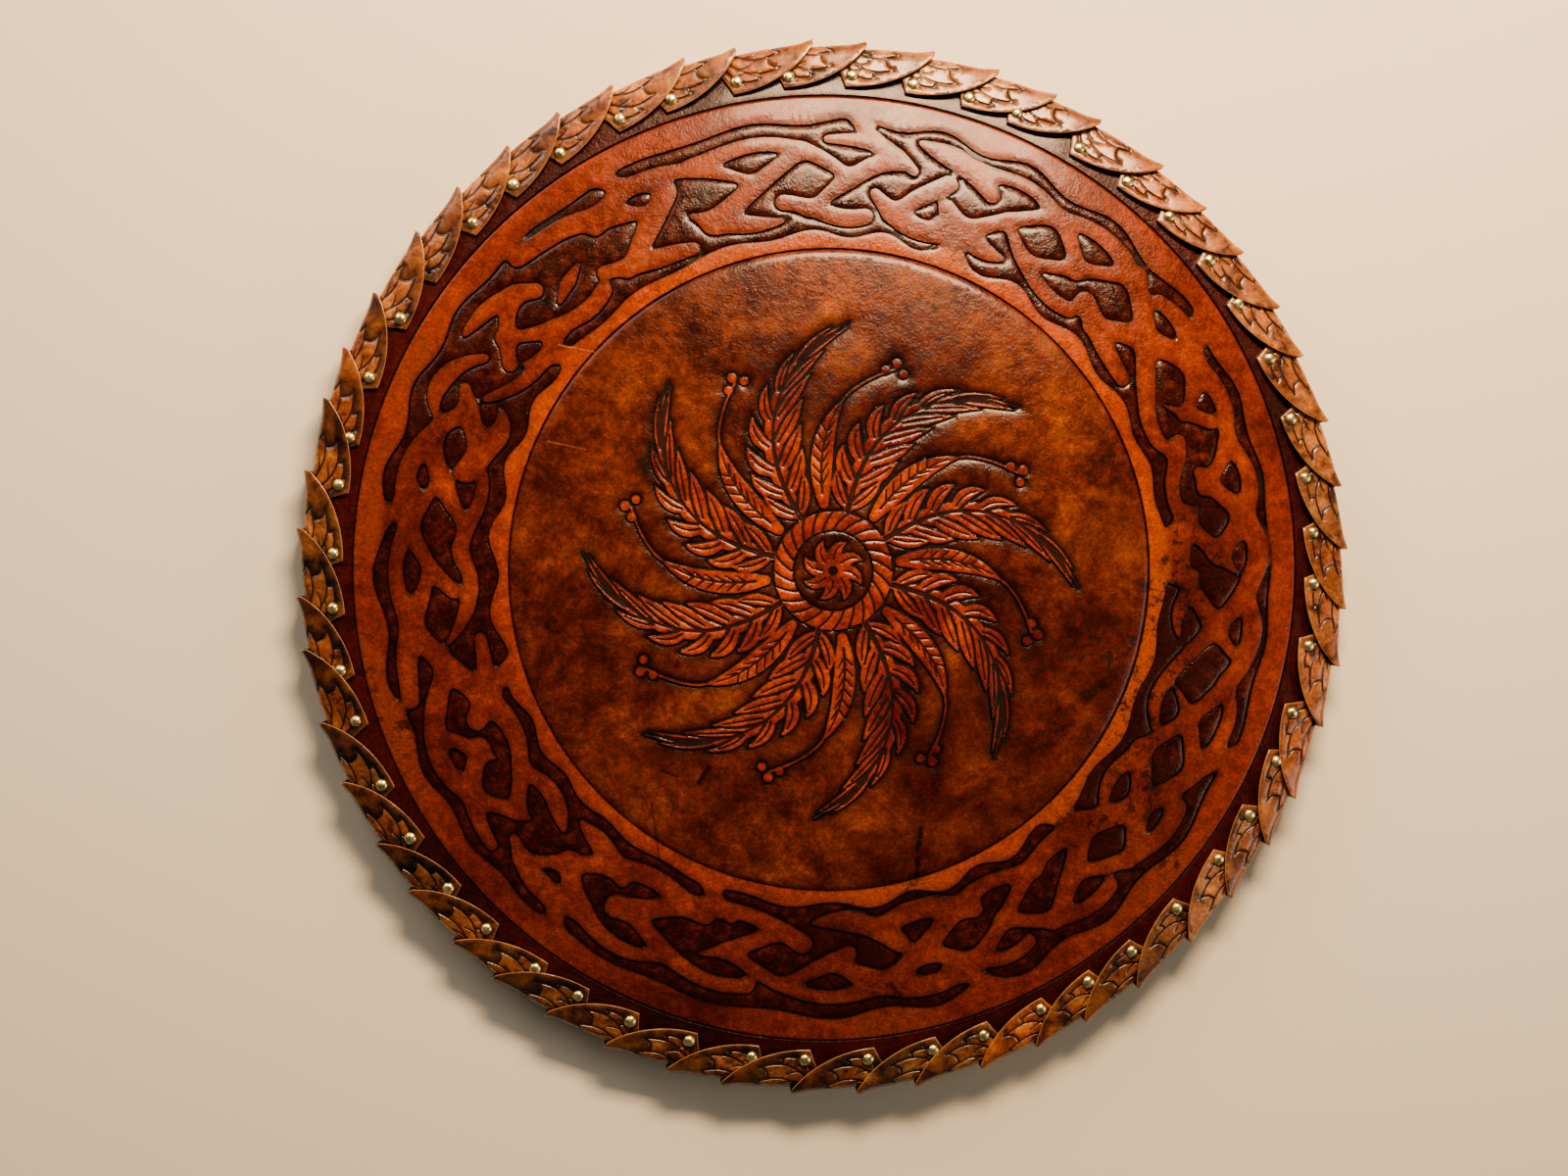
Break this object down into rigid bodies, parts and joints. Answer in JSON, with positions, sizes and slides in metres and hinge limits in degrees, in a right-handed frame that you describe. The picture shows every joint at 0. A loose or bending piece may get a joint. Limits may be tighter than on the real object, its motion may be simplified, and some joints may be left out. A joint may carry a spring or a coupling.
{
  "type": "round shield",
  "caption": "Dished round wooden shield faced with carved leather knotwork, edged with overlapping nailed leather scales, with an arm strap and hand grip behind.",
  "frame": {"origin": "centre of the shield's box in X and Y, on the floor that the rim rests on", "axes": "+Z out of the carved face, +Y to the top of the face as the picture shows it, +X to its right"},
  "size_m": [0.608, 0.6084, 0.0564],
  "materials": {
    "stained_wood": "dark stained board, satin",
    "face_leather": "carved, dyed and antiqued leather with a satin finish",
    "scale_leather": "tooled tan leather with dark antiquing",
    "strap_leather": "plain dark brown strap leather",
    "brass": "polished, slightly worn"
  },
  "bodies": {
    "root": {"wood_board": "stained_wood", "leather_facing": "face_leather", "arm_strap": "strap_leather", "hand_grip": "strap_leather", "arm_rivet_lower": "brass", "arm_rivet_upper": "brass", "hand_rivet_lower": "brass", "hand_rivet_upper": "brass", "scale_01": "scale_leather", "scale_02": "scale_leather", "scale_03": "scale_leather", "scale_04": "scale_leather", "scale_05": "scale_leather", "scale_06": "scale_leather", "scale_07": "scale_leather", "scale_08": "scale_leather", "scale_09": "scale_leather", "scale_10": "scale_leather", "scale_11": "scale_leather", "scale_12": "scale_leather", "scale_13": "scale_leather", "scale_14": "scale_leather", "scale_15": "scale_leather", "scale_16": "scale_leather", "scale_17": "scale_leather", "scale_18": "scale_leather", "scale_19": "scale_leather", "scale_20": "scale_leather", "scale_21": "scale_leather", "scale_22": "scale_leather", "scale_23": "scale_leather", "scale_24": "scale_leather", "scale_25": "scale_leather", "scale_26": "scale_leather", "scale_27": "scale_leather", "scale_28": "scale_leather", "scale_29": "scale_leather", "scale_30": "scale_leather", "scale_31": "scale_leather", "scale_32": "scale_leather", "scale_33": "scale_leather", "scale_34": "scale_leather", "scale_35": "scale_leather", "scale_36": "scale_leather", "scale_37": "scale_leather", "scale_38": "scale_leather", "scale_39": "scale_leather", "scale_40": "scale_leather", "scale_41": "scale_leather", "scale_42": "scale_leather", "scale_43": "scale_leather", "scale_44": "scale_leather", "scale_45": "scale_leather", "scale_46": "scale_leather", "scale_47": "scale_leather", "scale_48": "scale_leather", "scale_49": "scale_leather", "scale_50": "scale_leather", "scale_51": "scale_leather", "scale_52": "scale_leather"}
  },
  "joints": []
}
